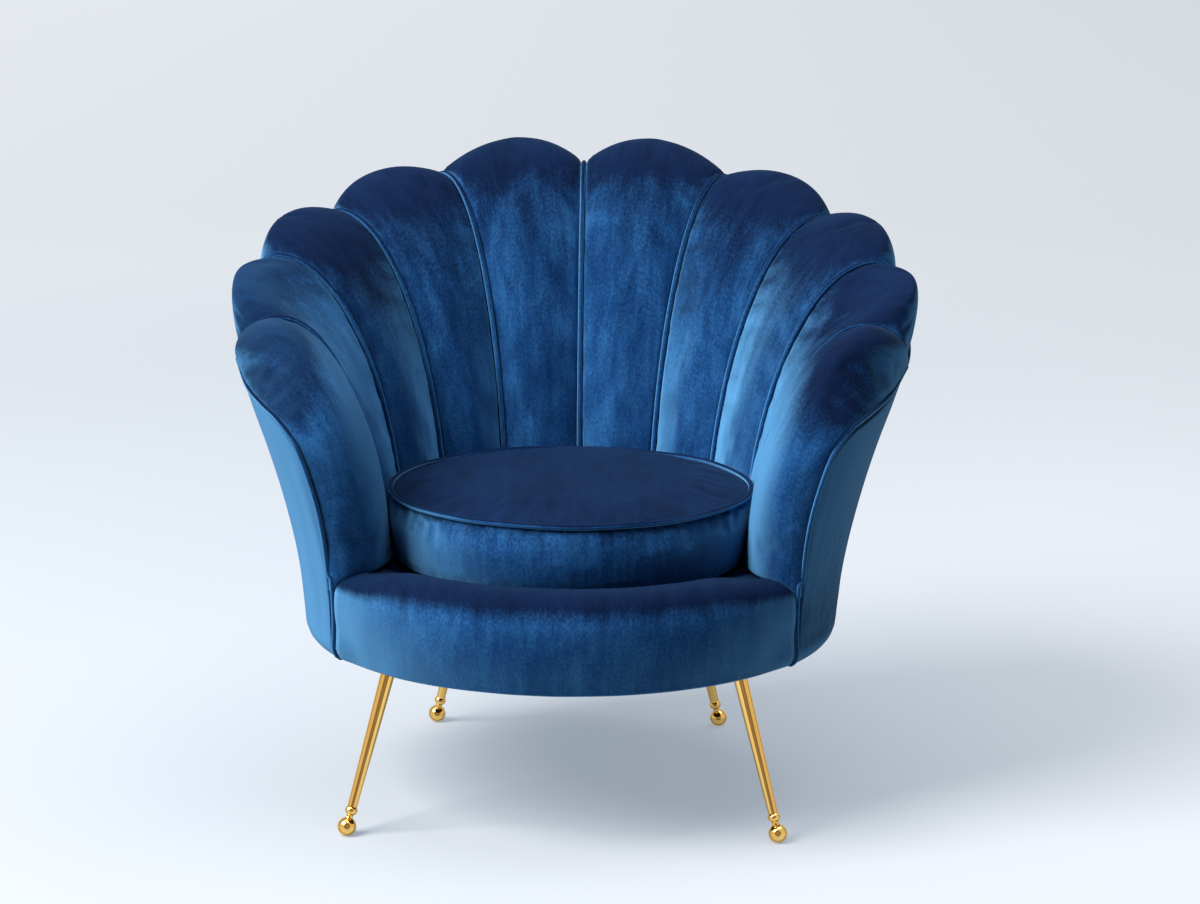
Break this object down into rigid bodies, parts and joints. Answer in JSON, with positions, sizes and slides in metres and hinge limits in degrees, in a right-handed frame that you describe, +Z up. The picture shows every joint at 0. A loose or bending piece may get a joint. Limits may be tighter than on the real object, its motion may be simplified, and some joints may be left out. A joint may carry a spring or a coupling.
{
  "type": "scallop back armchair",
  "caption": "Armchair with a scalloped shell of channel pads wrapping round a loose round seat cushion, on splayed slender metal legs with ball feet.",
  "frame": {"origin": "on the floor, under the middle of the overall bounding box", "axes": "+Z up, -Y is the front that the seat faces, +X to the right seen from the front"},
  "size_m": [0.8888, 0.7828, 0.801],
  "materials": {
    "velvet": "deep blue velvet with a directional nap",
    "piping": "velvet covered cord",
    "brass": "polished",
    "plywood": "raw birch plywood",
    "foam": "upholstery foam",
    "webbing": "woven elastic webbing",
    "dust_cloth": "non-woven black cloth",
    "steel": "zinc plated"
  },
  "bodies": {
    "chair_body": {"back_pad_inner_right": "velvet", "back_pad_inner_left": "velvet", "back_pad_outer_right": "velvet", "back_pad_outer_left": "velvet", "shoulder_pad_right": "velvet", "shoulder_pad_left": "velvet", "side_pad_right": "velvet", "side_pad_left": "velvet", "arm_front_pad_right": "velvet", "arm_front_pad_left": "velvet", "seam_piping_centre": "piping", "seam_piping_1_right": "piping", "seam_piping_1_left": "piping", "seam_piping_2_right": "piping", "seam_piping_2_left": "piping", "seam_piping_3_right": "piping", "seam_piping_3_left": "piping", "seam_piping_4_right": "piping", "seam_piping_4_left": "piping", "frame_rib_centre": "plywood", "frame_rib_1_right": "plywood", "frame_rib_1_left": "plywood", "frame_rib_2_right": "plywood", "frame_rib_2_left": "plywood", "frame_rib_3_right": "plywood", "frame_rib_3_left": "plywood", "frame_rib_4_right": "plywood", "frame_rib_4_left": "plywood", "outside_cover": "velvet", "outside_edge_piping": "piping", "front_border": "velvet", "base_board": "plywood", "seat_board": "plywood", "front_rail": "plywood", "back_hoop": "plywood", "arm_post_right": "plywood", "arm_post_left": "plywood", "seat_webbing": "webbing", "deck_pad": "velvet", "dust_cover": "dust_cloth", "front_leg_tube_right": "brass", "front_leg_tube_left": "brass", "front_ball_foot_right": "brass", "front_ball_foot_left": "brass", "front_leg_plate_right": "steel", "front_leg_plate_left": "steel", "rear_leg_tube_right": "brass", "rear_leg_tube_left": "brass", "rear_ball_foot_right": "brass", "rear_ball_foot_left": "brass", "rear_leg_plate_right": "steel", "rear_leg_plate_left": "steel"},
    "seat_cushion": {"cushion_foam_core": "foam", "cushion_top_panel": "velvet", "cushion_boxing_band": "velvet", "cushion_bottom_panel": "velvet", "cushion_welt": "piping"}
  },
  "joints": [
    {"name": "cushion_lift", "type": "slide", "parent": "chair_body", "child": "seat_cushion", "axis": [0, 0, 1], "range_m": [0, 0.52]}
  ]
}
